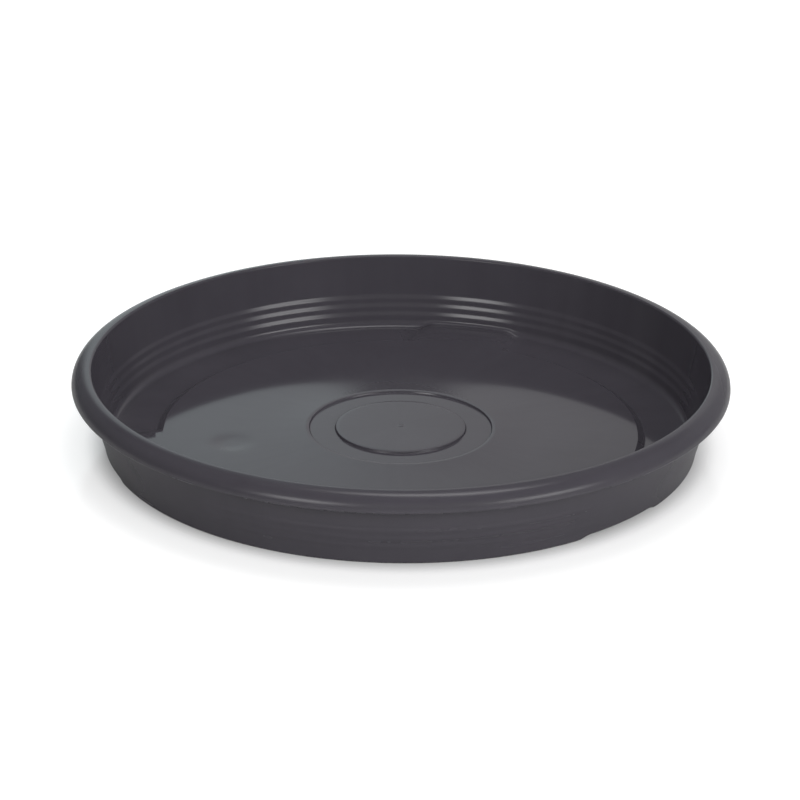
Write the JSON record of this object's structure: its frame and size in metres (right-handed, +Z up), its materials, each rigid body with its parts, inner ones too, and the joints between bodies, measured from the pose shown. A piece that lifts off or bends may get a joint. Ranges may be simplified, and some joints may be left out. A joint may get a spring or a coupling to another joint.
{
  "type": "plant saucer",
  "caption": "Round shallow plastic saucer with a rolled rim, stepped wall, raised floor and centre moat, set under a plant pot to catch water.",
  "frame": {"origin": "centre of the foot ring, on the ground", "axes": "+Z up along the saucer's axis, -Y towards the picture's camera, +X to its right"},
  "size_m": [0.3, 0.3, 0.037],
  "materials": {
    "anthracite_plastic": "semi-gloss moulded anthracite"
  },
  "bodies": {
    "root": {"saucer": "anthracite_plastic"}
  },
  "joints": []
}
